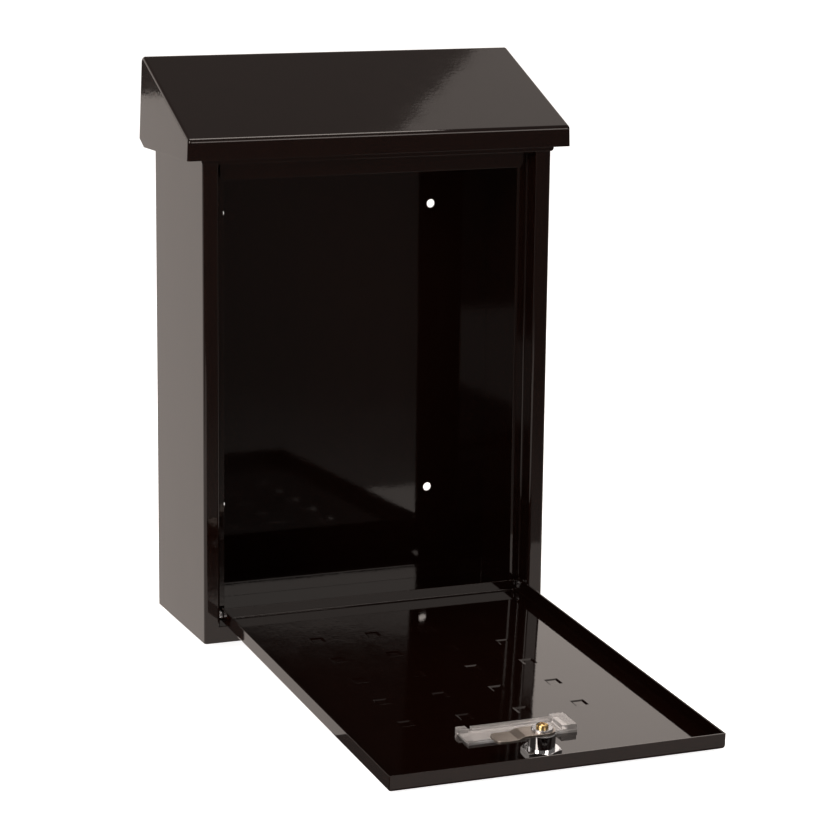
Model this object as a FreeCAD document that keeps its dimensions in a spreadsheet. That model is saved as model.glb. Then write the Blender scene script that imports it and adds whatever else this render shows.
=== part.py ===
"""Wall mounted mailbox: folded sheet case, drop-down tray door with a cam lock, lift-up roof lid.

Millimetres.  X runs to the right, Y into the wall and Z up.  The origin is the centre of the
wall screw pattern on the back face.  The door is drawn at its open stop and the lid closed.
"""
import FreeCAD, Part
import Sketcher
import os
from FreeCAD import Placement, Rotation, Vector

SIZES = [
    ("width", 240, "case, left to right"),
    ("depth", 100, "case, front face to wall"),
    ("gauge", 1, "sheet thickness of every folded part"),
    ("bend", 2, "outer radius of a fold"),
    ("edge_break", 0.5, "bevel on small turned parts"),
    ("wall_height", 324, "top of the front columns above the case floor"),
    ("mount_height", 166, "centre of the wall screw pattern above the case floor"),
    ("screw_pitch_across", 152, "wall screw holes, left to right"),
    ("screw_pitch_up", 200, "wall screw holes, bottom to top"),
    ("screw_hole", 5.8, "wall screw hole diameter"),
    ("back_height", 358, "top of the back panel above the case floor"),
    ("opening_width", 218.6, "clear width between the side returns"),
    ("opening_bottom", 10.8, "lower edge of the front opening"),
    ("opening_top", 312.6, "upper edge of the front opening"),
    ("return_depth", 13.8, "front face to the side stop flanges"),
    ("stop_width", 7.2, "side stop flange beyond its return"),
    ("header_stop_bottom", 301, "lower edge of the top stop flange"),
    ("header_stop_depth", 10.8, "front face to the top stop flange"),
    ("header_stop_half", 105, "centre line to each end of the top stop flange"),
    ("header_end_gap", 0.3, "header web to each side wall"),
    ("header_overlap", 1.2, "header strip past each side of the case"),
    ("header_top", 326, "top of the header"),
    ("pan_rim", 10, "height of the floor pan's weld flanges"),
    ("door_width", 212.6, "door tray, left to right"),
    ("door_length", 299, "door tray, hinge edge to free edge"),
    ("door_rim", 9.8, "door tray depth over its long flanges"),
    ("hinge_rim", 7.9, "door tray depth along the hinge edge"),
    ("door_open_tilt", 3.1, "degrees the open door hangs below level"),
    ("pin_inset", 4.2, "pin axis from the hinge edge"),
    ("pin_lift", 5.6, "pin axis above the door's outer face"),
    ("pin_setback", 6.2, "pin axis behind the case's front face"),
    ("pin_height", 17, "pin axis above the case floor"),
    ("pin_spare_height", 310, "matching unused hole near the top of each return"),
    ("pin_diameter", 3, "hinge pin shank"),
    ("pin_head", 5, "hinge pin head diameter"),
    ("pin_head_height", 1.1, "hinge pin head"),
    ("spacer_diameter", 5.8, "bright spacer between door and return"),
    ("running_gap", 0.05, "radial clearance on a pin"),
    ("side_gap", 0.1, "end clearance beside a moving sheet"),
    ("dimple_size", 9, "embossed square, edge length"),
    ("dimple_height", 0.55, "how far a square is pressed outward"),
    ("dimple_taper", 70, "degrees the sides of a square lean in"),
    ("dimple_across", 38, "square to square, left to right"),
    ("dimple_along", 37.7, "square to square, away from the hinge"),
    ("dimple_offset", -2, "middle of the squares, left or right of the lock"),
    ("dimple_first", 56.4, "hinge edge to the first row"),
    ("lock_along", 271.5, "hinge edge to the lock axis"),
    ("lock_barrel", 16.2, "lock barrel diameter"),
    ("lock_hole_gap", 0.15, "radial clearance of the barrel in the door"),
    ("lock_height", 13, "barrel top above the door's outer face"),
    ("lock_bezel", 20, "bezel diameter outside the door"),
    ("lock_bezel_height", 2.4, "bezel thickness outside the door"),
    ("plug_diameter", 11, "lock plug"),
    ("plug_boss", 8, "plug spigot that carries the cam"),
    ("keyway_length", 7.5, "key slot"),
    ("keyway_width", 1.6, "key slot"),
    ("keyway_depth", 9, "key slot"),
    ("nut_flats", 21, "lock nut across flats"),
    ("nut_height", 2.6, "lock nut"),
    ("cam_gap", 0.2, "cam plate above the lock barrel"),
    ("cam_thickness", 1.5, "cam plate"),
    ("cam_width", 14, "cam plate"),
    ("cam_reach", 31, "lock axis to cam tip"),
    ("cam_heel", 7.6, "lock axis to the cam's short end"),
    ("cam_joggle", 1.7, "step of the cam tip towards the door"),
    ("cam_joggle_start", 13.5, "lock axis to where the step begins"),
    ("cam_joggle_length", 4.5, "length of the step"),
    ("washer_diameter", 13, "washer under the cam screw"),
    ("washer_height", 1.3, "washer under the cam screw"),
    ("screw_head", 7.4, "cam screw head diameter"),
    ("screw_head_height", 2.5, "cam screw head"),
    ("screw_shank", 4, "cam screw thread diameter"),
    ("screw_length", 8, "cam screw below its head"),
    ("plate_along", 240.4, "hinge edge to the name holder's centre line"),
    ("plate_offset", -2, "name holder's centre, left or right of the lock"),
    ("plate_length", 70, "name holder"),
    ("plate_width", 20.4, "name holder"),
    ("plate_base", 1.8, "name holder's base on the door"),
    ("plate_rib", 1, "name holder's long rib thickness"),
    ("plate_rib_height", 3.4, "top of the long ribs above the door's inner face"),
    ("plate_block", 9.5, "raised end block of the name holder"),
    ("plate_block_height", 5, "top of the end block above the door's inner face"),
    ("plate_stud", 5, "raised stud at the name holder's other end"),
    ("window_length", 60, "name window cut in the door"),
    ("window_width", 14, "name window cut in the door"),
    ("card_thickness", 0.4, "name card"),
    ("card_gap", 0.1, "clearance round the name card"),
    ("roof_width", 259, "roof, left to right, level with the lid rod"),
    ("roof_slope", 23, "degrees below level, back to front"),
    ("roof_front_height", 329, "front fold above the case floor"),
    ("roof_fold", 3, "outer radius of the front fold"),
    ("lip_overhang", 5.2, "roof lip in front of the case"),
    ("lip_bottom", 315.7, "lower edge of the lip and the cheeks' front corner"),
    ("cheek_bottom", 313.5, "lower back corner of the cheeks"),
    ("cheek_lean", 2.2, "degrees the cheeks flare outward going down"),
    ("cheek_cut_along", 12, "cut corner at the cheeks' lower back, front to back"),
    ("cheek_cut_up", 5.5, "cut corner at the cheeks' lower back, height"),
    ("lid_bend", 4, "outer radius of the back fold, centred on the lid rod"),
    ("lid_back_flange", 6, "back flange below the lid rod"),
    ("ear_radius", 2.7, "side panel ear round the lid rod"),
    ("ear_slot", 0.6, "gap each side of an ear in the lid's back fold"),
    ("rod_diameter", 3, "lid rod"),
    ("rod_cap_length", 2.4, "push-on cap on the lid rod"),
    ("bracket_thickness", 1.5, "lid bracket"),
    ("bracket_length", 34, "lid bracket along the roof"),
    ("bracket_drop", 9, "lid bracket below the roof at its deep end"),
]

SLOPE = "(Size.roof_slope * 1 deg)"
ROD_Y = "(Size.depth - Size.lid_bend)"
ROD_Z = (f"(Size.roof_front_height + ({ROD_Y} + Size.lip_overhang) * tan({SLOPE})"
         f" - Size.lid_bend / cos({SLOPE}))")
LOCK_Y = "(Size.pin_inset - Size.lock_along)"
PLATE_Y = "(Size.pin_inset - Size.plate_along)"
DOOR_TOP = "(Size.gauge - Size.pin_lift)"           # the door's inner face above the pin axis
CAM_BASE = "(Size.lock_height + Size.cam_gap - Size.pin_lift)"

doc = FreeCAD.newDocument("mailbox")
sheet = doc.addObject("Spreadsheet::Sheet", "Size")
for row, (alias, number, meaning) in enumerate(SIZES, start=1):
    sheet.set(f"A{row}", alias)
    sheet.set(f"B{row}", str(number))
    sheet.set(f"C{row}", meaning)
    sheet.setAlias(f"B{row}", alias)
doc.recompute()


def value(expression):
    """Number that an expression over the sheet's cells gives."""
    return float(sheet.evalExpression(expression.replace("Size.", "")))


def signed(side, expression):
    """The expression on the right (side 1) or mirrored to the left (side -1)."""
    return f"({side}) * ({expression})"


def place(piece, base_y, base_z, tilt=None):
    """Put a piece's own frame into the shared frame."""
    piece.setExpression("Placement.Base.y", f"{base_y} - Size.depth")
    piece.setExpression("Placement.Base.z", f"{base_z} - Size.mount_height")
    if tilt:
        piece.Placement.Rotation = Rotation(Vector(1, 0, 0), value(tilt))
        piece.setExpression("Placement.Rotation.Angle", f"{tilt} * 1 deg")


def case_body(name):
    """Body whose own frame sits at the front bottom centre of the case."""
    body = doc.addObject("PartDesign::Body", name)
    place(body, "0", "0")
    return body


def door_body(name):
    """Body whose own frame sits on the door's pin axis and hangs with the open door."""
    body = doc.addObject("PartDesign::Body", name)
    place(body, "Size.pin_setback", "Size.pin_height", "Size.door_open_tilt")
    return body


def lid_body(name):
    """Body whose own frame sits on the lid rod's axis."""
    body = doc.addObject("PartDesign::Body", name)
    place(body, ROD_Y, ROD_Z)
    return body


def sketch_on(body, name, role, offset="0"):
    """Sketch on one of the body's origin planes, moved along its normal."""
    sketch = body.newObject("Sketcher::SketchObject", name)
    plane = [feature for feature in body.Origin.OriginFeatures if feature.Role == role][0]
    sketch.AttachmentSupport = [(plane, "")]
    sketch.MapMode = "FlatFace"
    sketch.AttachmentOffset = Placement(Vector(0, 0, value(offset)), Rotation())
    sketch.setExpression("AttachmentOffset.Base.z", offset)
    doc.recompute()
    return sketch


def pin_point(sketch, geometry, end, across, up):
    """Tie one end of a sketch element to sheet expressions."""
    for kind, expression in (("DistanceX", across), ("DistanceY", up)):
        constraint = Sketcher.Constraint(kind, -1, 1, geometry, end, value(expression))
        index = sketch.addConstraint(constraint)
        sketch.setExpression(f"Constraints[{index}]", expression)


def outline(sketch, corners):
    """Closed outline of straight sides, each corner tied to the sheet."""
    points = [Vector(value(across), value(up), 0) for across, up in corners]
    first = sketch.GeometryCount
    count = len(points)
    for number in range(count):
        sketch.addGeometry(Part.LineSegment(points[number], points[(number + 1) % count]), False)
    for number in range(count):
        following = first + (number + 1) % count
        sketch.addConstraint(Sketcher.Constraint("Coincident", first + number, 2, following, 1))
    for number, (across, up) in enumerate(corners):
        pin_point(sketch, first + number, 1, across, up)


def rectangle(sketch, left, right, low, high):
    outline(sketch, [(left, low), (right, low), (right, high), (left, high)])


def circle(sketch, across, up, diameter):
    centre = Vector(value(across), value(up), 0)
    index = sketch.addGeometry(Part.Circle(centre, Vector(0, 0, 1), value(diameter) / 2), False)
    pin_point(sketch, index, 3, across, up)
    size = sketch.addConstraint(Sketcher.Constraint("Diameter", index, value(diameter)))
    sketch.setExpression(f"Constraints[{size}]", diameter)


def grown(body, feature, adds):
    """Recompute and make sure that the feature really added or removed material."""
    before = feature.BaseFeature.Shape.Volume if feature.BaseFeature else 0
    doc.recompute()
    change = feature.Shape.Volume - before
    if (change > 0) != adds or abs(change) < 1e-6:
        raise RuntimeError(f"{body.Name}.{feature.Name} changes the volume by {change:.4f}")
    return feature


def pad(body, sketch, length, symmetric=False, backwards=False, taper=None):
    feature = body.newObject("PartDesign::Pad", f"{sketch.Name}Pad")
    feature.Profile = sketch
    feature.setExpression("Length", length)
    feature.SideType = "Symmetric" if symmetric else "One side"
    feature.Reversed = backwards
    if taper:
        feature.setExpression("TaperAngle", taper)
    return grown(body, feature, True)


def pocket(body, sketch, length, symmetric=False, backwards=False, taper=None):
    feature = body.newObject("PartDesign::Pocket", f"{sketch.Name}Pocket")
    feature.Profile = sketch
    feature.setExpression("Length", length)
    feature.SideType = "Symmetric" if symmetric else "One side"
    feature.Reversed = backwards
    if taper:
        feature.setExpression("TaperAngle", taper)
    return grown(body, feature, False)


def turned(body, sketch, axis, cut=False):
    """Revolve a half profile about the sketch's own H_Axis or V_Axis."""
    kind = "Groove" if cut else "Revolution"
    feature = body.newObject(f"PartDesign::{kind}", f"{sketch.Name}{kind}")
    feature.Profile = sketch
    feature.ReferenceAxis = (sketch, [axis])
    feature.Angle = 360
    return grown(body, feature, not cut)


def edges_at(feature, spots):
    """Names of the edges that pass through the given spots of the feature."""
    names = []
    for spot in spots:
        probe = Part.Vertex(Vector(*[value(part) for part in spot]))
        gaps = [edge.distToShape(probe)[0] for edge in feature.Shape.Edges]
        nearest = min(gaps)
        if nearest > 0.02:
            raise RuntimeError(f"{feature.Name}: no edge within {nearest:.2f} of {spot}")
        names.append(f"Edge{gaps.index(nearest) + 1}")
    return sorted(set(names))


def rounded(body, spots, radius):
    base = body.Tip
    feature = body.newObject("PartDesign::Fillet", f"{body.Name}Round")
    feature.Base = (base, edges_at(base, spots))
    feature.setExpression("Radius", radius)
    doc.recompute()
    return feature


def leaned(body, spots, angle, inward=False):
    """Lean flat faces outward going down, about the level of the body's origin."""
    base = body.Tip
    probes = [Part.Vertex(Vector(*[value(part) for part in spot])) for spot in spots]
    names = [f"Face{number}" for number, face in enumerate(base.Shape.Faces, start=1)
             if any(face.distToShape(probe)[0] < 0.01 for probe in probes)]
    feature = body.newObject("PartDesign::Draft", f"{body.Name}Lean")
    feature.Base = (base, names)
    level = [plane for plane in body.Origin.OriginFeatures if plane.Role == "XY_Plane"][0]
    feature.NeutralPlane = (level, [""])
    feature.setExpression("Angle", angle)
    doc.recompute()
    feature.Reversed = inward
    doc.recompute()
    return feature


def bevelled(body, spots, size):
    base = body.Tip
    feature = body.newObject("PartDesign::Chamfer", f"{body.Name}Bevel")
    feature.Base = (base, edges_at(base, spots))
    feature.setExpression("Size", size)
    doc.recompute()
    return feature


# ---------------------------------------------------------------- case

def side_panel(name, side):
    """Side wall, front column, return and stop flange folded from one sheet, with a gable."""
    body = case_body(name)
    wall = "Size.width / 2"
    wall_in = f"{wall} - Size.gauge"
    edge = "Size.opening_width / 2"
    edge_in = f"{edge} + Size.gauge"
    stop = f"{edge} - Size.stop_width"
    front_of_stop = "Size.return_depth"
    back_of_stop = "Size.return_depth + Size.gauge"
    back = "Size.depth - Size.gauge"
    profile = [
        (wall, back), (wall, "0"), (edge, "0"), (edge, front_of_stop), (stop, front_of_stop),
        (stop, back_of_stop), (edge_in, back_of_stop), (edge_in, "Size.gauge"),
        (wall_in, "Size.gauge"), (wall_in, back),
    ]
    sketch = sketch_on(body, f"{name}Plan", "XY_Plane")
    outline(sketch, [(signed(side, across), along) for across, along in profile])
    pad(body, sketch, "Size.wall_height")
    middle = "Size.wall_height / 2"
    outer_folds = [(wall, "0"), (edge, "0"), (edge_in, back_of_stop)]
    inner_folds = [(wall_in, "Size.gauge"), (edge_in, "Size.gauge"), (edge, front_of_stop)]
    rounded(body, [(signed(side, across), along, middle) for across, along in outer_folds], "Size.bend")
    rounded(body, [(signed(side, across), along, middle) for across, along in inner_folds],
            "Size.bend - Size.gauge")

    foot = sketch_on(body, f"{name}Foot", "XY_Plane")
    strip_end = f"{edge} + Size.bend"
    notch = [("Size.opening_width / 4", "-Size.gauge"), (strip_end, "-Size.gauge"),
             (strip_end, "Size.gauge"), (wall_in, "Size.gauge"), (wall_in, "Size.depth / 3"),
             ("Size.opening_width / 4", "Size.depth / 3")]
    outline(foot, [(signed(side, across), along) for across, along in notch])
    pocket(body, foot, "Size.opening_bottom", backwards=True)

    gable = sketch_on(body, f"{name}Gable", "YZ_Plane", signed(side, wall_in))
    low = "Size.wall_height - Size.gauge"
    rise = f"{ROD_Z} + Size.ear_radius / cos({SLOPE})"
    front = "Size.bend"
    outline(gable, [
        (front, low), (f"{ROD_Y} + Size.ear_radius", low),
        (f"{ROD_Y} + Size.ear_radius", f"{rise} + Size.ear_radius * tan({SLOPE})"),
        (front, f"{rise} + ({front} - {ROD_Y}) * tan({SLOPE})"),
    ])
    pad(body, gable, "Size.gauge", backwards=side < 0)
    rounded(body, [(signed(side, f"{wall} - Size.gauge / 2"), f"{ROD_Y} + Size.ear_radius",
                    f"{rise} + Size.ear_radius * tan({SLOPE})")], "Size.ear_radius")

    ear_hole = sketch_on(body, f"{name}EarHole", "YZ_Plane", signed(side, f"{wall_in} - Size.gauge"))
    circle(ear_hole, ROD_Y, ROD_Z, "Size.rod_diameter")
    pocket(body, ear_hole, "3 * Size.gauge", backwards=side > 0)
    pin_holes = sketch_on(body, f"{name}PinHoles", "YZ_Plane", signed(side, f"{edge} - Size.gauge"))
    for height in ("Size.pin_height", "Size.pin_spare_height"):
        circle(pin_holes, "Size.pin_setback", height, "Size.pin_diameter")
    pocket(body, pin_holes, "3 * Size.gauge", backwards=side > 0)
    return body


def back_panel():
    body = case_body("back_panel")
    sketch = sketch_on(body, "BackPlan", "XZ_Plane", "-Size.depth")
    rectangle(sketch, "-Size.width / 2", "Size.width / 2", "0", "Size.back_height")
    for side in (-1, 1):
        for level in (-1, 1):
            circle(sketch, signed(side, "Size.screw_pitch_across / 2"),
                   f"Size.mount_height + {signed(level, 'Size.screw_pitch_up / 2')}",
                   "Size.screw_hole")
    pad(body, sketch, "Size.gauge")
    return body


def floor_pan():
    """Floor with weld flanges on three sides and the face strip under the opening."""
    body = case_body("floor_pan")
    half = "Size.width / 2 - Size.gauge"
    back = "Size.depth - Size.gauge"
    flange_front = "Size.return_depth + 2 * Size.gauge"
    floor = sketch_on(body, "PanFloor", "XY_Plane")
    rectangle(floor, f"-({half})", half, "Size.gauge", back)
    pad(body, floor, "Size.gauge")
    rim = sketch_on(body, "PanRim", "XY_Plane")
    outline(rim, [
        (f"-({half})", flange_front), (f"-({half})", back), (half, back), (half, flange_front),
        (f"{half} - Size.gauge", flange_front), (f"{half} - Size.gauge", f"{back} - Size.gauge"),
        (f"Size.gauge - ({half})", f"{back} - Size.gauge"), (f"Size.gauge - ({half})", flange_front),
    ])
    pad(body, rim, "Size.pan_rim")
    strip = sketch_on(body, "PanStrip", "XY_Plane")
    strip_half = "(Size.opening_width / 2 + Size.bend)"
    rectangle(strip, f"-{strip_half}", strip_half, "0", "Size.gauge")
    pad(body, strip, "Size.opening_bottom")
    return body


def front_header():
    """Channel over the opening: face strip, web and the stop flange behind the door."""
    body = case_body("front_header")
    stop_back = "Size.header_stop_depth + Size.gauge"
    web_low = "Size.header_top - Size.gauge"
    section = sketch_on(body, "HeaderSection", "YZ_Plane")
    outline(section, [
        ("-Size.gauge", "Size.opening_top"), ("-Size.gauge", "Size.header_top"),
        (stop_back, "Size.header_top"), (stop_back, "Size.header_stop_bottom"),
        ("Size.header_stop_depth", "Size.header_stop_bottom"), ("Size.header_stop_depth", web_low),
        ("0", web_low), ("0", "Size.opening_top"),
    ])
    web_half = "(Size.width / 2 - Size.gauge - Size.header_end_gap)"
    pad(body, section, f"2 * {web_half}", symmetric=True)
    rounded(body, [("0", "-Size.gauge", "Size.header_top"), ("0", stop_back, "Size.header_top")],
            "Size.bend")
    for side in (-1, 1):
        trim = sketch_on(body, f"HeaderTrim{side + 1}", "XZ_Plane", "-Size.header_stop_depth / 2")
        rectangle(trim, signed(side, "Size.header_stop_half"), signed(side, "Size.width / 2"),
                  "Size.header_stop_bottom - 1", f"{web_low} - 1")
        pocket(body, trim, "Size.header_stop_depth")
        ear = sketch_on(body, f"HeaderEar{side + 1}", "XZ_Plane")
        rectangle(ear, signed(side, web_half), signed(side, "Size.width / 2 + Size.header_overlap"),
                  "Size.opening_top", f"{web_low} - 1")
        pad(body, ear, "Size.gauge")
        rounded(body, [(signed(side, "Size.width / 2 + Size.header_overlap"), "-Size.gauge / 2",
                        "Size.opening_top")], "Size.bend")
        rounded(body, [(signed(side, "Size.header_stop_half"), f"{stop_back} - Size.gauge / 2",
                        "Size.header_stop_bottom")], "2 * Size.bend")
    return body


def door_pin(name, side):
    """Rivet through the return, the spacer and the door's side flange."""
    body = case_body(name)
    place(body, "Size.pin_setback", "Size.pin_height")
    inner_face = "Size.door_width / 2 - Size.gauge - Size.side_gap"
    outer_face = "Size.opening_width / 2 + Size.gauge"
    shank = "Size.pin_diameter / 2"
    head = "Size.pin_head / 2"
    crown = "Size.pin_head / 4"
    profile = [
        (f"{inner_face} - Size.pin_head_height", "0"), (f"{inner_face} - Size.pin_head_height", crown),
        (f"{inner_face} - Size.pin_head_height / 2", head), (inner_face, head), (inner_face, shank),
        (outer_face, shank), (outer_face, head), (f"{outer_face} + Size.pin_head_height / 2", head),
        (f"{outer_face} + Size.pin_head_height", crown), (f"{outer_face} + Size.pin_head_height", "0"),
    ]
    sketch = sketch_on(body, f"{name}Half", "XY_Plane")
    outline(sketch, [(signed(side, along), radius) for along, radius in profile])
    turned(body, sketch, "H_Axis")
    return body


def door_spacer(name, side):
    """Turned spacer on the pin between the door and the return."""
    body = case_body(name)
    place(body, "Size.pin_setback", "Size.pin_height")
    door_end = "Size.door_width / 2 + Size.side_gap"
    return_end = "Size.opening_width / 2"
    bore = "Size.pin_diameter / 2"
    rim = "Size.spacer_diameter / 2"
    bevel = "Size.edge_break"
    profile = [(door_end, bore), (door_end, f"{rim} - {bevel}"), (f"{door_end} + {bevel}", rim),
               (f"{return_end} - {bevel}", rim), (return_end, f"{rim} - {bevel}"), (return_end, bore)]
    sketch = sketch_on(body, f"{name}Half", "XY_Plane")
    outline(sketch, [(signed(side, along), radius) for along, radius in profile])
    turned(body, sketch, "H_Axis")
    return body


def lid_rod():
    rod = doc.addObject("Part::Cylinder", "lid_rod")
    reach = "(Size.width / 2 + Size.rod_cap_length)"
    rod.setExpression("Radius", "Size.rod_diameter / 2")
    rod.setExpression("Height", f"2 * {reach}")
    rod.Placement = Placement(Vector(0, 0, 0), Rotation(Vector(0, 1, 0), 90))
    rod.setExpression("Placement.Base.x", f"-{reach}")
    place(rod, ROD_Y, ROD_Z)
    return rod


def rod_cap(name, side):
    """Push-on cap that keeps the lid rod in its ears."""
    body = lid_body(name)
    start = "Size.width / 2 + Size.side_gap"
    sketch = sketch_on(body, f"{name}Ring", "YZ_Plane", signed(side, start))
    circle(sketch, "0", "0", "2 * Size.ear_radius")
    circle(sketch, "0", "0", "Size.rod_diameter")
    pad(body, sketch, "Size.rod_cap_length", backwards=side < 0)
    return body


# ---------------------------------------------------------------- door

def door_tray():
    """Panel with a rim folded up on all four sides and rows of squares pressed outward."""
    body = door_body("door_tray")
    half = "Size.door_width / 2"
    hinge = "Size.pin_inset"
    free = "(Size.pin_inset - Size.door_length)"
    outer = "-Size.pin_lift"
    rim = "(Size.door_rim - Size.pin_lift)"
    plan = sketch_on(body, "TrayPlan", "XY_Plane", outer)
    rectangle(plan, f"-{half}", half, free, hinge)
    pad(body, plan, "Size.door_rim")
    middle = f"({free} + {hinge}) / 2"
    rounded(body, [(half, middle, outer), (f"-{half}", middle, outer), ("0", free, outer),
                   ("0", hinge, outer)], "Size.bend")
    bevelled(body, [(half, hinge, "0"), (f"-{half}", hinge, "0"), (half, free, "0"),
                    (f"-{half}", free, "0")], "Size.gauge / 2")
    inside = sketch_on(body, "TrayInside", "XY_Plane", DOOR_TOP)
    rectangle(inside, f"Size.gauge - {half}", f"{half} - Size.gauge", f"{free} + Size.gauge",
              f"{hinge} - Size.gauge")
    pocket(body, inside, "Size.door_rim", backwards=True)
    low = DOOR_TOP
    rounded(body, [(f"{half} - Size.gauge", middle, low), (f"Size.gauge - {half}", middle, low),
                   ("0", f"{free} + Size.gauge", low), ("0", f"{hinge} - Size.gauge", low)],
            "Size.bend - Size.gauge")

    step = sketch_on(body, "TrayHingeStep", "YZ_Plane")
    drop = "(Size.hinge_rim - Size.pin_lift)"
    clear = "(Size.door_rim - Size.hinge_rim)"
    outline(step, [(f"{hinge} - {clear} - Size.gauge", f"{rim} + 1"),
                   (f"{hinge} - {clear} - Size.gauge", rim), (f"{hinge} - Size.gauge", drop),
                   (f"{hinge} + 1", drop), (f"{hinge} + 1", f"{rim} + 1")])
    pocket(body, step, "Size.door_width + 2", symmetric=True)

    cuts = sketch_on(body, "TrayCuts", "XY_Plane", DOOR_TOP)
    circle(cuts, "0", LOCK_Y, "Size.lock_barrel + 2 * Size.lock_hole_gap")
    rectangle(cuts, "Size.plate_offset - Size.window_length / 2",
              "Size.plate_offset + Size.window_length / 2",
              f"{PLATE_Y} - Size.window_width / 2", f"{PLATE_Y} + Size.window_width / 2")
    pocket(body, cuts, "2 * Size.gauge")
    pivots = sketch_on(body, "TrayPivots", "YZ_Plane")
    circle(pivots, "0", "0", "Size.pin_diameter + 2 * Size.running_gap")
    pocket(body, pivots, "Size.door_width + 2", symmetric=True)
    press_squares(body)
    return body


def press_squares(body):
    """Four columns and five rows of small squares, raised outside and sunk inside."""
    start_x = "(Size.dimple_offset - 1.5 * Size.dimple_across)"
    start_y = "(Size.pin_inset - Size.dimple_first)"
    half = "Size.dimple_size / 2"
    pressed = []
    for name, level in (("Bump", "-Size.pin_lift"), ("Dent", DOOR_TOP)):
        sketch = sketch_on(body, name, "XY_Plane", level)
        rectangle(sketch, f"{start_x} - {half}", f"{start_x} + {half}",
                  f"{start_y} - {half}", f"{start_y} + {half}")
        if name == "Bump":
            feature = pad(body, sketch, "Size.dimple_height", backwards=True,
                          taper="-Size.dimple_taper * 1 deg")
        else:
            feature = pocket(body, sketch, "Size.dimple_height",
                             taper="-Size.dimple_taper * 1 deg")
        pressed.append(feature)
    pattern = body.newObject("PartDesign::MultiTransform", "Squares")
    pattern.Originals = pressed
    directions = [("Columns", "H_Axis", False, 4, "Size.dimple_across"),
                  ("Rows", "V_Axis", True, 5, "Size.dimple_along")]
    steps = []
    for name, axis, backwards, count, pitch in directions:
        line = body.newObject("PartDesign::LinearPattern", name)
        line.Direction = (pressed[0].Profile[0], [axis])
        line.Reversed = backwards
        line.Occurrences = count
        line.setExpression("Length", f"{count - 1} * {pitch}")
        steps.append(line)
    pattern.Transformations = steps
    body.Tip = pattern
    doc.recompute()


def lock_body():
    """Threaded lock barrel with its bezel outside the door."""
    body = door_body("lock_body")
    sketch = sketch_on(body, "LockHalf", "YZ_Plane")
    outer = "-Size.pin_lift"
    bezel_low = f"{outer} - Size.lock_bezel_height"
    bore = "(Size.plug_diameter / 2 + Size.running_gap)"
    radii = [
        (bore, bezel_low), ("Size.lock_bezel / 2 - Size.gauge", bezel_low),
        ("Size.lock_bezel / 2", f"{bezel_low} + Size.gauge"), ("Size.lock_bezel / 2", outer),
        ("Size.lock_barrel / 2", outer),
        ("Size.lock_barrel / 2", f"{outer} + Size.lock_height - Size.edge_break"),
        ("Size.lock_barrel / 2 - Size.edge_break", f"{outer} + Size.lock_height"),
        (bore, f"{outer} + Size.lock_height"),
    ]
    outline(sketch, radii)
    turned(body, sketch, "V_Axis")
    return lock_place(body)


def lock_place(body):
    """Carry a piece drawn round its own axis to the lock axis on the door."""
    tilt = "(Size.door_open_tilt * 1 deg)"
    body.setExpression("Placement.Base.y", f"Size.pin_setback + {LOCK_Y} * cos({tilt}) - Size.depth")
    body.setExpression("Placement.Base.z", f"Size.pin_height + {LOCK_Y} * sin({tilt}) - Size.mount_height")
    return body


def lock_nut():
    body = door_body("lock_nut")
    sketch = sketch_on(body, "NutPlan", "XY_Plane", DOOR_TOP)
    corner = "Size.nut_flats / 2 / cos(30 deg)"
    outline(sketch, [(f"{corner} * cos({60 * turn + 30} deg)", f"{corner} * sin({60 * turn + 30} deg)")
                     for turn in range(6)])
    circle(sketch, "0", "0", "Size.lock_barrel")
    pad(body, sketch, "Size.nut_height")
    crown = sketch_on(body, "NutCrown", "YZ_Plane")
    top = f"{DOOR_TOP} + Size.nut_height"
    clear = "Size.edge_break"
    outline(crown, [("Size.nut_flats / 2", f"{top} + {clear}"), ("Size.nut_flats / 2", top),
                    (f"{corner} + {clear}", f"{top} - 2 * {clear}"),
                    (f"{corner} + {clear}", f"{top} + {clear}")])
    turned(body, crown, "V_Axis", cut=True)
    return lock_place(body)


def lock_plug():
    """Key barrel: keyway outside, spigot for the cam inside."""
    body = door_body("lock_plug")
    sketch = sketch_on(body, "PlugHalf", "YZ_Plane")
    low = "-Size.pin_lift - Size.lock_bezel_height"
    seat = CAM_BASE
    outline(sketch, [
        ("0", low), ("Size.plug_diameter / 2 - Size.edge_break", low),
        ("Size.plug_diameter / 2", f"{low} + Size.edge_break"),
        ("Size.plug_diameter / 2", seat), ("Size.plug_boss / 2", seat),
        ("Size.plug_boss / 2", f"{seat} + Size.cam_thickness"),
        ("Size.screw_shank / 2", f"{seat} + Size.cam_thickness"),
        ("Size.screw_shank / 2", f"{seat} + Size.cam_thickness + Size.washer_height - Size.screw_length"),
        ("0", f"{seat} + Size.cam_thickness + Size.washer_height - Size.screw_length"),
    ])
    turned(body, sketch, "V_Axis")
    keyway = sketch_on(body, "PlugKeyway", "XY_Plane", low)
    rectangle(keyway, "-Size.keyway_length / 2", "Size.keyway_length / 2",
              "-Size.keyway_width / 2", "Size.keyway_width / 2")
    pocket(body, keyway, "Size.keyway_depth - Size.screw_shank", backwards=True)
    return lock_place(body)


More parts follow.
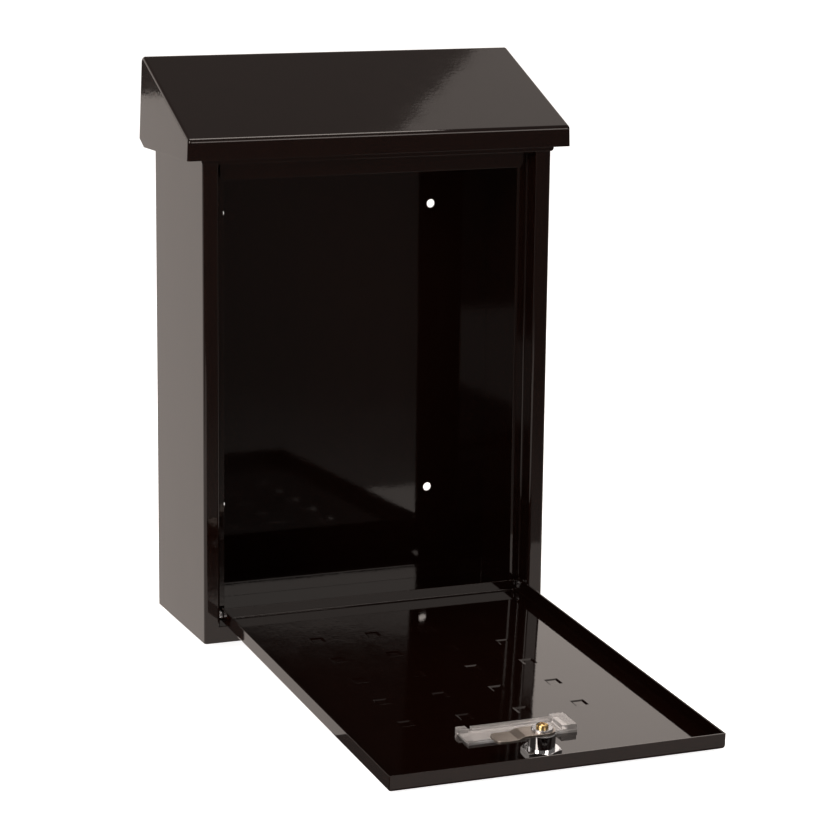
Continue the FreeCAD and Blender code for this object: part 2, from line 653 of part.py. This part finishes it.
def lock_cam():
    """Flat cam with a stepped tip, drawn pointing left, the unlocked way."""
    body = door_body("lock_cam")
    base = CAM_BASE
    tip_start = "(Size.cam_joggle_start + Size.cam_joggle_length)"
    edge = [("Size.cam_heel", base), ("-Size.cam_joggle_start", base),
            (f"-{tip_start}", f"{base} - Size.cam_joggle"), ("-Size.cam_reach", f"{base} - Size.cam_joggle")]
    upper = [(across, f"{up} + Size.cam_thickness") for across, up in reversed(edge)]
    sketch = sketch_on(body, "CamEdge", "XZ_Plane")
    outline(sketch, edge + upper)
    pad(body, sketch, "Size.cam_width", symmetric=True)
    half = "Size.cam_width / 2"
    heel_spots = [("Size.cam_heel", signed(way, half), f"{base} + Size.cam_thickness / 2")
                  for way in (-1, 1)]
    tip_spots = [("-Size.cam_reach", signed(way, half),
                  f"{base} - Size.cam_joggle + Size.cam_thickness / 2") for way in (-1, 1)]
    rounded(body, heel_spots, "Size.cam_width / 2 - Size.edge_break")
    rounded(body, tip_spots, "Size.cam_width / 4")
    step_spots = [("-Size.cam_joggle_start", "0", f"{base} + Size.cam_thickness"),
                  ("-Size.cam_joggle_start", "0", base),
                  (f"-{tip_start}", "0", f"{base} - Size.cam_joggle + Size.cam_thickness"),
                  (f"-{tip_start}", "0", f"{base} - Size.cam_joggle")]
    rounded(body, step_spots, "Size.cam_thickness")
    hole = sketch_on(body, "CamHole", "XY_Plane", f"{base} - 1")
    circle(hole, "0", "0", "Size.plug_boss")
    pocket(body, hole, "Size.cam_thickness + 2", backwards=True)
    return lock_place(body)


def cam_washer():
    body = door_body("cam_washer")
    base = f"{CAM_BASE} + Size.cam_thickness"
    sketch = sketch_on(body, "WasherHalf", "YZ_Plane")
    outline(sketch, [
        ("Size.screw_shank / 2", base), ("Size.washer_diameter / 2", base),
        ("Size.washer_diameter / 2", f"{base} + Size.washer_height / 2"),
        ("Size.washer_diameter / 2 - Size.edge_break", f"{base} + Size.washer_height"),
        ("Size.screw_shank / 2", f"{base} + Size.washer_height"),
    ])
    turned(body, sketch, "V_Axis")
    return lock_place(body)


def cam_screw():
    """Pan head screw with a cross recess."""
    body = door_body("cam_screw")
    seat = f"{CAM_BASE} + Size.cam_thickness + Size.washer_height"
    sketch = sketch_on(body, "ScrewHalf", "YZ_Plane")
    outline(sketch, [
        ("0", f"{seat} - Size.screw_length"), ("Size.screw_shank / 2", f"{seat} - Size.screw_length"),
        ("Size.screw_shank / 2", seat), ("Size.screw_head / 2", seat),
        ("Size.screw_head / 2", f"{seat} + Size.screw_head_height / 2"),
        ("Size.screw_head / 2 - Size.edge_break", f"{seat} + Size.screw_head_height * 0.8"),
        ("Size.screw_head / 4", f"{seat} + Size.screw_head_height"),
        ("0", f"{seat} + Size.screw_head_height"),
    ])
    turned(body, sketch, "V_Axis")
    recess = sketch_on(body, "ScrewRecess", "XY_Plane", f"{seat} + Size.screw_head_height")
    arm = "Size.screw_head / 3.2"
    slot = "Size.screw_head / 14"
    outline(recess, [(f"-{arm}", f"-{slot}"), (f"-{slot}", f"-{slot}"), (f"-{slot}", f"-{arm}"),
                     (slot, f"-{arm}"), (slot, f"-{slot}"), (arm, f"-{slot}"), (arm, slot),
                     (slot, slot), (slot, arm), (f"-{slot}", arm), (f"-{slot}", slot), (f"-{arm}", slot)])
    pocket(body, recess, "Size.screw_head_height / 2")
    return lock_place(body)


def name_holder():
    """Clear holder: a window that fills the door's cut-out, ribs, an end block and a stud."""
    body = door_body("name_holder")
    centre = "Size.plate_offset"
    left = f"({centre} - Size.plate_length / 2)"
    right = f"({centre} + Size.plate_length / 2)"
    near = f"({PLATE_Y} - Size.plate_width / 2)"
    far = f"({PLATE_Y} + Size.plate_width / 2)"
    base = sketch_on(body, "HolderBase", "XY_Plane", DOOR_TOP)
    rectangle(base, left, right, near, far)
    pad(body, base, "Size.plate_base")
    window = sketch_on(body, "HolderWindow", "XY_Plane", DOOR_TOP)
    rectangle(window, f"{centre} - Size.window_length / 2 + Size.card_gap",
              f"{centre} + Size.window_length / 2 - Size.card_gap",
              f"{PLATE_Y} - Size.window_width / 2 + Size.card_gap",
              f"{PLATE_Y} + Size.window_width / 2 - Size.card_gap")
    pad(body, window, "Size.gauge", backwards=True)
    ribs = sketch_on(body, "HolderRibs", "XY_Plane", DOOR_TOP)
    for gap in ("0", "3 * Size.plate_rib"):
        rectangle(ribs, f"{left} + Size.plate_block", f"{right} - Size.plate_block",
                  f"{far} - Size.plate_rib - {gap}", f"{far} - {gap}")
    pad(body, ribs, "Size.plate_rib_height")
    block = sketch_on(body, "HolderBlock", "XY_Plane", DOOR_TOP)
    rectangle(block, f"{right} - Size.plate_block", right, f"{near} + Size.plate_rib", far)
    pad(body, block, "Size.plate_block_height")
    stud = sketch_on(body, "HolderStud", "XY_Plane", DOOR_TOP)
    rectangle(stud, left, f"{left} + Size.plate_stud + Size.plate_rib",
              f"{far} - Size.plate_stud - Size.plate_rib", far)
    pad(body, stud, "Size.plate_block_height - Size.plate_rib")
    slit = sketch_on(body, "HolderCardSlit", "YZ_Plane", f"{left} - 1")
    middle = "Size.plate_base / 3"
    card_half = "(Size.window_width / 2 + Size.card_gap)"
    rectangle(slit, f"{PLATE_Y} - {card_half}", f"{PLATE_Y} + {card_half}",
              f"{DOOR_TOP} + {middle}", f"{DOOR_TOP} + {middle} + Size.card_thickness + 2 * Size.card_gap")
    pocket(body, slit, "Size.window_length + 6", backwards=True)
    return body


def name_card():
    """Blank card inside the holder's slit."""
    body = door_body("name_card")
    centre = "Size.plate_offset"
    level = f"{DOOR_TOP} + Size.plate_base / 3 + Size.card_gap"
    sketch = sketch_on(body, "CardPlan", "XY_Plane", level)
    rectangle(sketch, f"{centre} - Size.window_length / 2", f"{centre} + Size.window_length / 2 - 1",
              f"{PLATE_Y} - Size.window_width / 2", f"{PLATE_Y} + Size.window_width / 2")
    pad(body, sketch, "Size.card_thickness")
    return body


# ---------------------------------------------------------------- lid

def roof_lid():
    """Sloping roof with a front lip, two cheeks and a back fold centred on the lid rod."""
    body = lid_body("roof_lid")
    back = "Size.lid_bend"
    front = f"(-{ROD_Y} - Size.lip_overhang)"
    lip_low = f"(Size.lip_bottom - {ROD_Z})"
    cheek_low = f"(Size.cheek_bottom - {ROD_Z})"
    roof_high = f"Size.lid_bend / cos({SLOPE})"
    profile = sketch_on(body, "RoofSide", "YZ_Plane")
    outline(profile, [
        (back, f"{cheek_low} + Size.cheek_cut_up"), (f"{back} - Size.cheek_cut_along", cheek_low),
        (front, lip_low),
        (front, f"{roof_high} + {front} * tan({SLOPE})"),
        (back, f"{roof_high} + {back} * tan({SLOPE})"),
    ])
    pad(body, profile, "Size.roof_width", symmetric=True)
    half = "Size.roof_width / 2"
    centre = f"{front} / 2"
    leaned(body, [(half, centre, lip_low + " / 2"), (f"-{half}", centre, lip_low + " / 2")],
           "Size.cheek_lean")
    under = f"(Size.lid_bend - Size.gauge) / cos({SLOPE})"
    inner_front = f"({front} + Size.gauge)"
    inner_back = "(Size.lid_bend - Size.gauge)"
    cavity = sketch_on(body, "RoofCavity", "YZ_Plane")
    outline(cavity, [
        (inner_front, f"{cheek_low} - 5"), (f"{back} + 1", f"{cheek_low} - 5"),
        (f"{back} + 1", "-Size.lid_back_flange"), (inner_back, "-Size.lid_back_flange"),
        (inner_back, f"{under} + {inner_back} * tan({SLOPE})"),
        (inner_front, f"{under} + {inner_front} * tan({SLOPE})"),
    ])
    pocket(body, cavity, "Size.roof_width - 2 * Size.gauge", symmetric=True)
    inside = f"({half} - Size.gauge)"
    leaned(body, [(inside, centre, lip_low + " / 2"), (f"-{inside}", centre, lip_low + " / 2")],
           "Size.cheek_lean", inward=True)
    middle = f"({roof_high} + {centre} * tan({SLOPE}))"
    fold = f"({half} - {middle} * tan(Size.cheek_lean * 1 deg))"
    rounded(body, [("0", inner_back, f"{under} + {inner_back} * tan({SLOPE})")],
            "Size.lid_bend - Size.gauge")
    rounded(body, [("0", back, f"{roof_high} + {back} * tan({SLOPE})")], "Size.lid_bend")
    rounded(body, [("0", inner_front, f"{under} + {inner_front} * tan({SLOPE})")],
            "Size.roof_fold - Size.gauge")
    rounded(body, [("0", front, f"{roof_high} + {front} * tan({SLOPE})")], "Size.roof_fold")
    rounded(body, [(fold, centre, middle), (f"-{fold}", centre, middle)], "Size.bend")
    for side in (-1, 1):
        slot = sketch_on(body, f"RoofSlot{side + 1}", "XY_Plane", "-2 * Size.lid_bend")
        wall = "Size.width / 2"
        rectangle(slot, signed(side, f"{wall} - Size.gauge - Size.ear_slot"),
                  signed(side, f"{wall} + Size.ear_slot"), "Size.running_gap", f"{back} + 1")
        pocket(body, slot, "4 * Size.lid_bend", backwards=True)
    return body


def lid_bracket(name, side):
    """Plate welded under the roof that turns on the lid rod."""
    body = lid_body(name)
    inset = "Size.width / 2 - Size.gauge - 2 * Size.ear_slot - Size.bracket_thickness"
    sketch = sketch_on(body, f"{name}Side", "YZ_Plane", signed(side, inset))
    under = "(Size.lid_bend - Size.gauge)"
    eye = "(Size.ear_radius + Size.side_gap)"
    far_y = f"(-Size.bracket_length * cos({SLOPE}))"
    outline(sketch, [
        (eye, f"{under} / cos({SLOPE}) + {eye} * tan({SLOPE}) - Size.running_gap"), (eye, f"-{eye}"),
        (f"-{eye}", f"-{eye} - Size.side_gap"),
        (f"{far_y} / 2", f"-Size.bracket_drop + {far_y} / 2 * tan({SLOPE})"),
        (far_y, f"{under} / cos({SLOPE}) + {far_y} * tan({SLOPE}) - Size.bend"),
        (far_y, f"{under} / cos({SLOPE}) + {far_y} * tan({SLOPE}) - Size.running_gap"),
    ])
    pad(body, sketch, "Size.bracket_thickness", backwards=side < 0)
    mid = f"({inset} + Size.bracket_thickness / 2)"
    rounded(body, [(signed(side, mid), eye,
                    f"{under} / cos({SLOPE}) + {eye} * tan({SLOPE}) - Size.running_gap")], eye)
    rounded(body, [(signed(side, mid), eye, f"-{eye}")], eye)
    hole = sketch_on(body, f"{name}Hole", "YZ_Plane", signed(side, f"{inset} - 1"))
    circle(hole, "0", "0", "Size.rod_diameter + 2 * Size.running_gap")
    pocket(body, hole, "Size.bracket_thickness + 2", backwards=side > 0)
    return body


PIECES = [
    side_panel("left_side_panel", -1), side_panel("right_side_panel", 1), back_panel(), floor_pan(),
    front_header(), door_pin("left_door_pin", -1), door_pin("right_door_pin", 1),
    door_spacer("left_door_spacer", -1), door_spacer("right_door_spacer", 1), lid_rod(),
    rod_cap("left_rod_cap", -1), rod_cap("right_rod_cap", 1), door_tray(), lock_body(), lock_nut(),
    lock_plug(), lock_cam(), cam_washer(), cam_screw(), name_holder(), name_card(), roof_lid(),
    lid_bracket("left_lid_bracket", -1), lid_bracket("right_lid_bracket", 1),
]

doc.recompute()
for thing in doc.Objects:
    if "Invalid" in thing.State or "Error" in thing.State:
        raise RuntimeError(f"{thing.Name} did not compute: {thing.State}")
for piece in PIECES:
    piece.Label = piece.Name
    if piece.Shape.isNull() or not piece.Shape.isValid() or len(piece.Shape.Solids) != 1:
        raise RuntimeError(f"{piece.Label} is not one valid solid")

os.makedirs("parts", exist_ok=True)
for piece in PIECES:
    piece.Shape.exportStep(f"parts/{piece.Label}.step")
    box = piece.Shape.BoundBox
    print(f"{piece.Label:18s} {piece.Shape.Volume / 1000:8.2f} cm3  x {box.XMin:7.1f} {box.XMax:7.1f}"
          f"  y {box.YMin:7.1f} {box.YMax:7.1f}  z {box.ZMin:7.1f} {box.ZMax:7.1f}")
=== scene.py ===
import math

import bmesh
import bpy
from mathutils import Matrix, Vector


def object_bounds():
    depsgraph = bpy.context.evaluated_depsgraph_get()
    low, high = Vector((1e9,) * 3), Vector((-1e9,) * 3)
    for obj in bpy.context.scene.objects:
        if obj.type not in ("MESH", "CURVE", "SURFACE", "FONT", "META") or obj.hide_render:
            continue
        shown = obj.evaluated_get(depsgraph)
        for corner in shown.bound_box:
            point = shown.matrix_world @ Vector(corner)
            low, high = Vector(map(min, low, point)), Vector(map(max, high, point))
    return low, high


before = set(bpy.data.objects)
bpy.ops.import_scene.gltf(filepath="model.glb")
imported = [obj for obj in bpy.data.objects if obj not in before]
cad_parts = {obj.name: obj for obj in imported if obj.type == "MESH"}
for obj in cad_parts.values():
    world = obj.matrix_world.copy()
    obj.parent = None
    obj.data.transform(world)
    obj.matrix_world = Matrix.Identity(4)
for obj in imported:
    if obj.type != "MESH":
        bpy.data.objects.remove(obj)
cad_low, cad_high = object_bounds()

# ---------------------------------------------------------------- sizes, in metres

MM = 0.001
MICRON = 1e-6

FLOOR_GAP = 0.6 * MM               # the floor lies this far under the lowest point of the mailbox
FLOOR_HALF = 40.0
FLOOR_PAINT = 0.9
FLOOR_GLOW = 0.93
SWEEP = ((-0.65, -1.0), (-0.14, -1.0), (-0.14, -0.28), (2.5, -0.28), (2.5, 4.0),
         (-2.5, 4.0), (-2.5, -0.28), (-0.65, -0.28))      # the lit part of the floor, seen from above
SWEEP_GLOW = 0.88

BACKDROP_GLOW = 1.3
NEAR_FLOOR_GLOW = 0.62
CEILING_GLOW = (0.09, 0.20)        # at the horizon and high up

# name, where it stands, the point it faces, width, height, radiance
SOFTBOXES = (
    ("overhead_softbox", (0.0, 0.0, 1.5), (0.0, -0.1, 0.0), 1.2, 0.6, 5.0),
    ("back_right_softbox", (1.45, 0.75, 1.5), (0.0, -0.1, 0.1), 1.3, 1.3, 0.54),
    ("front_left_softbox", (-1.5, -1.2, 0.85), (0.0, -0.3, -0.1), 0.8, 1.0, 8.0),
    ("front_softbox", (0.75, -2.2, 0.55), (0.0, -0.3, -0.1), 0.9, 0.6, 3.0),
)

CAMERA_AT = (-0.6679, -1.7828, 0.3800)
CAMERA_YAW = 22.36                 # degrees to the right of straight at the wall
CAMERA_PITCH = 12.49               # degrees down
CAMERA_ROLL = 0.68
CAMERA_LENS = 123.54
CAMERA_SENSOR = 36.0               # both in millimetres

PURE_WHITE = (1.0, 1.0, 1.0)
WARM_WHITE = (1.0, 0.89, 0.82)     # what the studio's lights and backdrop look like in the paint


# ---------------------------------------------------------------- node helpers

def new_material(name):
    """A material with only its shader and output: returns it, its node tree and the shader."""
    material = bpy.data.materials.new(name)
    material.use_nodes = True
    tree = material.node_tree
    tree.nodes.clear()
    shader = tree.nodes.new("ShaderNodeBsdfPrincipled")
    output = tree.nodes.new("ShaderNodeOutputMaterial")
    tree.links.new(shader.outputs["BSDF"], output.inputs["Surface"])
    return material, tree, shader


def object_coords(tree, stretch=(1.0, 1.0, 1.0)):
    """Coordinates that move with the piece, in metres, stretched along the axes."""
    coords = tree.nodes.new("ShaderNodeTexCoord")
    mapping = tree.nodes.new("ShaderNodeMapping")
    mapping.inputs["Scale"].default_value = stretch
    tree.links.new(coords.outputs["Object"], mapping.inputs["Vector"])
    return mapping.outputs["Vector"]


def noise(tree, coords, size, detail, roughness):
    """Smooth noise whose lumps are about size metres across: a socket from 0 to 1."""
    node = tree.nodes.new("ShaderNodeTexNoise")
    node.inputs["Scale"].default_value = 1.0 / size
    node.inputs["Detail"].default_value = detail
    node.inputs["Roughness"].default_value = roughness
    tree.links.new(coords, node.inputs["Vector"])
    return node.outputs["Fac"]


def spread(tree, factor, low, high, to_low, to_high):
    """Maps a socket's range low..high to to_low..to_high, and holds it there outside."""
    node = tree.nodes.new("ShaderNodeMapRange")
    node.clamp = True
    node.inputs["From Min"].default_value = low
    node.inputs["From Max"].default_value = high
    node.inputs["To Min"].default_value = to_low
    node.inputs["To Max"].default_value = to_high
    tree.links.new(factor, node.inputs["Value"])
    return node.outputs["Result"]


def mixed(tree, factor, first, second):
    """A colour from first to second as the socket goes from 0 to 1; either may be a socket."""
    node = tree.nodes.new("ShaderNodeMix")
    node.data_type = "RGBA"
    tree.links.new(factor, node.inputs["Factor"])
    sockets = [s for s in node.inputs if s.type == "RGBA"]
    for colour, socket in zip((first, second), sockets):
        if isinstance(colour, tuple):
            socket.default_value = (*colour, 1.0)
        else:
            tree.links.new(colour, socket)
    return [s for s in node.outputs if s.type == "RGBA"][0]


def maths(tree, operation, first, second):
    """One arithmetic node on two sockets or numbers."""
    node = tree.nodes.new("ShaderNodeMath")
    node.operation = operation
    for value, socket in zip((first, second), node.inputs):
        if isinstance(value, (int, float)):
            socket.default_value = value
        else:
            tree.links.new(value, socket)
    return node.outputs["Value"]


def soft_edges(tree, radius):
    """The normal as it would be with every sharp edge rounded by radius."""
    node = tree.nodes.new("ShaderNodeBevel")
    node.samples = 6
    node.inputs["Radius"].default_value = radius
    return node.outputs["Normal"]


def bumped(tree, height, depth, normal=None):
    """The normal of a surface raised by depth metres where the height socket is 1."""
    node = tree.nodes.new("ShaderNodeBump")
    node.inputs["Strength"].default_value = 1.0
    node.inputs["Distance"].default_value = depth
    tree.links.new(height, node.inputs["Height"])
    if normal is not None:
        tree.links.new(normal, node.inputs["Normal"])
    return node.outputs["Normal"]


def edge_mask(tree, rounded_normal):
    """0 on flat faces, rising to 1 on sharp edges."""
    geometry = tree.nodes.new("ShaderNodeNewGeometry")
    node = tree.nodes.new("ShaderNodeVectorMath")
    node.operation = "DOT_PRODUCT"
    tree.links.new(geometry.outputs["Normal"], node.inputs[0])
    tree.links.new(rounded_normal, node.inputs[1])
    return spread(tree, node.outputs["Value"], 0.995, 0.80, 0.0, 1.0)


def connect(tree, shader, colour, roughness, normal, metallic=0.0):
    """Joins a surface's three varying sockets to the shader, and says whether it is a metal."""
    tree.links.new(colour, shader.inputs["Base Color"])
    tree.links.new(roughness, shader.inputs["Roughness"])
    tree.links.new(normal, shader.inputs["Normal"])
    shader.inputs["Metallic"].default_value = metallic


# ---------------------------------------------------------------- materials

def powder_coat():
    """Gloss brown-black powder coat on thin sheet: orange peel, a slow ripple, paler on edges (partly
    thinner paint there, partly a painted highlight).
    """
    material, tree, shader = new_material("black_powder_coat")
    coords = object_coords(tree)
    rounded = soft_edges(tree, 0.35 * MM)
    on_edge = edge_mask(tree, rounded)
    mottle = noise(tree, coords, 14 * MM, 3.0, 0.6)
    grit = noise(tree, coords, 0.35 * MM, 2.0, 0.6)
    flat = mixed(tree, mottle, (0.0040, 0.0012, 0.0007), (0.0056, 0.0019, 0.0012))
    # sharp edges lightened: partly the thinner paint on edges, partly a painted highlight
    colour = mixed(tree, on_edge, flat, (0.013, 0.008, 0.006))
    sheen = maths(tree, "ADD", spread(tree, mottle, 0.3, 0.7, 0.035, 0.06),
                  spread(tree, grit, 0.45, 0.75, 0.0, 0.02))
    roughness = maths(tree, "ADD", sheen, spread(tree, on_edge, 0.0, 1.0, 0.0, 0.10))
    peel = noise(tree, coords, 2.6 * MM, 1.5, 0.5)
    fine_peel = noise(tree, coords, 0.9 * MM, 1.0, 0.5)
    ripple = noise(tree, coords, 45 * MM, 1.0, 0.4)
    height = maths(tree, "ADD", maths(tree, "MULTIPLY", peel, 9 * MICRON),
                   maths(tree, "ADD", maths(tree, "MULTIPLY", fine_peel, 1.6 * MICRON),
                         maths(tree, "MULTIPLY", ripple, 90 * MICRON)))
    connect(tree, shader, colour, roughness, bumped(tree, height, 1.0, rounded))
    shader.inputs["IOR"].default_value = 1.5
    return material


def bright_zinc():
    """Clear-passivated zinc plating on turned steel: bright, faintly blue, with a fine grain."""
    material, tree, shader = new_material("bright_zinc")
    coords = object_coords(tree)
    rounded = soft_edges(tree, 0.15 * MM)
    cloud = noise(tree, coords, 2.2 * MM, 3.0, 0.6)
    grain = noise(tree, coords, 0.22 * MM, 2.0, 0.6)
    connect(tree, shader,
            colour=mixed(tree, cloud, (0.56, 0.57, 0.60), (0.74, 0.75, 0.77)),
            roughness=spread(tree, cloud, 0.3, 0.7, 0.20, 0.34),
            normal=bumped(tree, grain, 6 * MICRON, rounded), metallic=1.0)
    return material


def chrome_plate():
    """Bright chrome over a die casting: nearly a mirror, a slow casting ripple under it."""
    material, tree, shader = new_material("chrome_plate")
    coords = object_coords(tree)
    rounded = soft_edges(tree, 0.2 * MM)
    smear = noise(tree, coords, 3.5 * MM, 3.0, 0.6)
    ripple = noise(tree, coords, 2.0 * MM, 1.0, 0.5)
    connect(tree, shader,
            colour=mixed(tree, smear, (0.74, 0.76, 0.79), (0.84, 0.86, 0.88)),
            roughness=spread(tree, smear, 0.35, 0.75, 0.05, 0.16),
            normal=bumped(tree, ripple, 12 * MICRON, rounded), metallic=1.0)
    return material


def nickel_plate():
    """Polished nickel, warmer than chrome, scuffed by keys."""
    material, tree, shader = new_material("nickel_plate")
    rounded = soft_edges(tree, 0.12 * MM)
    smear = noise(tree, object_coords(tree), 1.6 * MM, 4.0, 0.6)
    scuffs = noise(tree, object_coords(tree, (9.0, 1.0, 1.0)), 1.8 * MM, 3.0, 0.7)
    connect(tree, shader,
            colour=mixed(tree, smear, (0.50, 0.48, 0.43), (0.66, 0.63, 0.57)),
            roughness=spread(tree, scuffs, 0.4, 0.8, 0.10, 0.30),
            normal=bumped(tree, scuffs, 3 * MICRON, rounded), metallic=1.0)
    return material


def dull_zinc():
    """Zinc-plated stamping gone dull: brownish clouds and a coarse rolled grain."""
    material, tree, shader = new_material("dull_zinc")
    rounded = soft_edges(tree, 0.3 * MM)
    on_edge = edge_mask(tree, rounded)
    cloud = noise(tree, object_coords(tree), 6 * MM, 4.0, 0.62)
    grain = noise(tree, object_coords(tree, (0.25, 1.6, 1.6)), 0.5 * MM, 3.0, 0.65)
    plate = mixed(tree, cloud, (0.42, 0.36, 0.31), (0.64, 0.59, 0.54))
    connect(tree, shader,
            colour=mixed(tree, on_edge, plate, (0.74, 0.70, 0.65)),
            roughness=spread(tree, grain, 0.3, 0.7, 0.30, 0.46),
            normal=bumped(tree, grain, 10 * MICRON, rounded), metallic=1.0)
    return material


def brass():
    """Bright turned brass, lightly tarnished in clouds."""
    material, tree, shader = new_material("brass")
    rounded = soft_edges(tree, 0.15 * MM)
    on_edge = edge_mask(tree, rounded)
    cloud = noise(tree, object_coords(tree), 1.8 * MM, 4.0, 0.6)
    grain = noise(tree, object_coords(tree), 0.18 * MM, 2.0, 0.6)
    metal = mixed(tree, cloud, (0.50, 0.33, 0.12), (0.78, 0.58, 0.27))
    connect(tree, shader,
            colour=mixed(tree, on_edge, metal, (0.90, 0.74, 0.42)),
            roughness=spread(tree, cloud, 0.3, 0.7, 0.16, 0.30),
            normal=bumped(tree, grain, 4 * MICRON, rounded), metallic=1.0)
    return material


def clear_plastic():
    """Moulded clear plastic, milky in places, with flow marks along its length."""
    material, tree, shader = new_material("clear_plastic")
    rounded = soft_edges(tree, 0.25 * MM)
    haze = noise(tree, object_coords(tree), 7 * MM, 3.0, 0.6)
    flow = noise(tree, object_coords(tree, (0.3, 1.0, 1.0)), 5 * MM, 2.0, 0.5)
    connect(tree, shader,
            colour=mixed(tree, haze, (0.93, 0.92, 0.92), (0.98, 0.975, 0.975)),
            roughness=spread(tree, haze, 0.35, 0.75, 0.03, 0.12),
            normal=bumped(tree, flow, 40 * MICRON, rounded))
    shader.inputs["IOR"].default_value = 1.49
    shader.inputs["Transmission Weight"].default_value = 0.72
    return material


def blank_card():
    """Plain white card with visible fibres."""
    material, tree, shader = new_material("blank_card")
    fibres = noise(tree, object_coords(tree, (0.4, 1.0, 1.0)), 0.5 * MM, 5.0, 0.7)
    connect(tree, shader,
            colour=mixed(tree, fibres, (0.84, 0.83, 0.81), (0.92, 0.91, 0.90)),
            roughness=spread(tree, fibres, 0.3, 0.7, 0.75, 0.90),
            normal=bumped(tree, fibres, 15 * MICRON))
    return material


FINISHES = {
    "black_powder_coat": powder_coat,
    "bright_zinc": bright_zinc,
    "chrome_plate": chrome_plate,
    "nickel_plate": nickel_plate,
    "dull_zinc": dull_zinc,
    "brass": brass,
    "clear_plastic": clear_plastic,
    "blank_card": blank_card,
}


def finish_pieces():
    """Gives every piece the material that its CAD slot is named after."""
    finished = {slot: make() for slot, make in FINISHES.items()}
    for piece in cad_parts.values():
        for slot in piece.material_slots:
            slot.material = finished[slot.material.name.split(".")[0]]


# ---------------------------------------------------------------- floor, lights, camera

def make_floor(name, outline, paint, colour, glow):
    """A plain floor just under the mailbox: its grey, and the colour and strength of its glow."""
    mesh = bpy.data.meshes.new(name)
    shape = bmesh.new()
    shape.faces.new([shape.verts.new((x, y, 0.0)) for x, y in outline])
    shape.to_mesh(mesh)
    shape.free()
    floor = bpy.data.objects.new(name, mesh)
    floor.location.z = cad_low.z - FLOOR_GAP
    bpy.context.scene.collection.objects.link(floor)
    material, tree, shader = new_material(name)
    shader.inputs["Base Color"].default_value = (paint, paint, paint, 1.0)
    shader.inputs["Roughness"].default_value = 0.9
    shader.inputs["Specular IOR Level"].default_value = 0.0
    shader.inputs["Emission Color"].default_value = (*colour, 1.0)
    shader.inputs["Emission Strength"].default_value = glow
    mesh.materials.append(material)
    return floor


def make_floors():
    """The wide pale floor that is seen, and the lit sweep that the mailbox's paint reflects."""
    far = FLOOR_HALF
    seen = make_floor("studio_floor", ((-far, -far), (far, -far), (far, far), (-far, far)),
                      FLOOR_PAINT, PURE_WHITE, FLOOR_GLOW)
    seen.visible_glossy = False
    sweep = make_floor("lit_sweep", SWEEP, 0.0, WARM_WHITE, SWEEP_GLOW)
    sweep.visible_camera = False
    sweep.visible_diffuse = False
    sweep.visible_shadow = False


def make_softbox(name, at, toward, width, height, radiance):
    """A rectangular softbox at a place, turned to face a point."""
    light = bpy.data.lights.new(name, "AREA")
    light.shape = "RECTANGLE"
    light.size = width
    light.size_y = height
    light.color = WARM_WHITE
    light.energy = radiance * width * height * math.pi
    lamp = bpy.data.objects.new(name, light)
    bpy.context.scene.collection.objects.link(lamp)
    lamp.location = at
    lamp.rotation_mode = "QUATERNION"
    lamp.rotation_quaternion = (Vector(toward) - lamp.location).to_track_quat("-Z", "Y")


def make_world():
    """Dim studio all round, with a bright backdrop behind the mailbox and a floor in front.

    Depth and height are the parts of a direction along the wall's normal and straight up.
    The camera itself sees plain white.
    """
    world = bpy.data.worlds.new("studio")
    bpy.context.scene.world = world
    world.use_nodes = True
    tree = world.node_tree
    tree.nodes.clear()
    output = tree.nodes.new("ShaderNodeOutputWorld")
    background = tree.nodes.new("ShaderNodeBackground")
    coords = tree.nodes.new("ShaderNodeTexCoord")
    split = tree.nodes.new("ShaderNodeSeparateXYZ")
    tree.links.new(coords.outputs["Generated"], split.inputs["Vector"])
    depth, height = split.outputs["Y"], split.outputs["Z"]
    standing = maths(tree, "MULTIPLY", spread(tree, height, 0.45, 0.62, 1.0, 0.0),
                     spread(tree, height, -0.05, 0.0, 0.0, 1.0))
    backdrop = maths(tree, "MULTIPLY", spread(tree, depth, 0.55, 0.80, 0.0, BACKDROP_GLOW), standing)
    near_floor = maths(tree, "MULTIPLY", spread(tree, depth, -0.55, -0.75, 0.0, NEAR_FLOOR_GLOW),
                       spread(tree, height, -0.20, -0.37, 0.1, 1.0))
    ceiling = spread(tree, height, 0.0, 0.6, *CEILING_GLOW)
    light = tree.nodes.new("ShaderNodeLightPath")
    straight = light.outputs["Is Camera Ray"]
    glow = maths(tree, "MAXIMUM", maths(tree, "MAXIMUM", backdrop, near_floor),
                 maths(tree, "MAXIMUM", ceiling, straight))
    tree.links.new(glow, background.inputs["Strength"])
    tree.links.new(mixed(tree, straight, WARM_WHITE, PURE_WHITE), background.inputs["Color"])
    tree.links.new(background.outputs["Background"], output.inputs["Surface"])


def make_camera():
    """A camera at the photograph's place and angle."""
    data = bpy.data.cameras.new("camera")
    data.lens = CAMERA_LENS
    data.sensor_width = CAMERA_SENSOR
    camera = bpy.data.objects.new("camera", data)
    bpy.context.scene.collection.objects.link(camera)
    turn = (Matrix.Rotation(-math.radians(CAMERA_YAW), 4, "Z")
            @ Matrix.Rotation(math.radians(90.0 - CAMERA_PITCH), 4, "X")
            @ Matrix.Rotation(math.radians(CAMERA_ROLL), 4, "Z"))
    camera.matrix_world = Matrix.Translation(CAMERA_AT) @ turn
    bpy.context.scene.camera = camera


finish_pieces()
make_floors()
for softbox in SOFTBOXES:
    make_softbox(*softbox)
make_world()
make_camera()
bpy.context.scene.view_settings.view_transform = "Standard"
